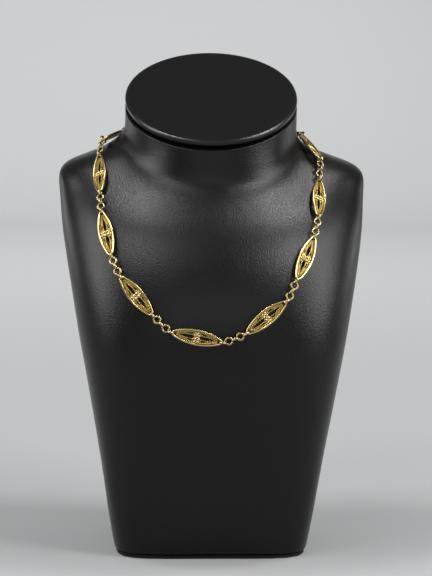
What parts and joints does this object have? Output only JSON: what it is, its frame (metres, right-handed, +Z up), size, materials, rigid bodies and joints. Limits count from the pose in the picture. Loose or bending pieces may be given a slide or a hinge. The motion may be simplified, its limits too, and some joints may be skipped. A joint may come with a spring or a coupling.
{
  "type": "watch chain on a neck bust",
  "caption": "Gold watch chain of openwork navette links and round rings, worn as a necklace on a black leatherette neck bust with a sloping capped neck.",
  "frame": {"origin": "middle of the underside of the base plate, below the bust's upright axis", "axes": "+Z up, -Y towards the front of the bust, +X to the right as seen from the front"},
  "size_m": [0.1861, 0.1404, 0.2996],
  "materials": {
    "gold": "polished 18 carat yellow gold, warm, with darker recesses between twisted wires",
    "leatherette": "black leatherette with a fine pebbled grain and a soft sheen",
    "cap_cover": "black leatherette stretched over a round cap, with a rolled edge",
    "plate_cover": "matt black covering paper under the base"
  },
  "bodies": {
    "root": {"base_plate": "plate_cover", "bust_body": "leatherette", "neck_cap": "cap_cover", "navette_01": "gold", "navette_02": "gold", "navette_03": "gold", "navette_04": "gold", "navette_05": "gold", "navette_06": "gold", "navette_07": "gold", "navette_08": "gold", "navette_09": "gold", "navette_10": "gold", "navette_11": "gold", "ring_run_01": "gold", "ring_run_02": "gold", "ring_run_03": "gold", "ring_run_04": "gold", "ring_run_05": "gold", "ring_run_06": "gold", "ring_run_07": "gold", "ring_run_08": "gold", "ring_run_09": "gold", "ring_run_10": "gold", "ring_run_11": "gold", "ring_run_12": "gold", "clasp": "gold"}
  },
  "joints": []
}
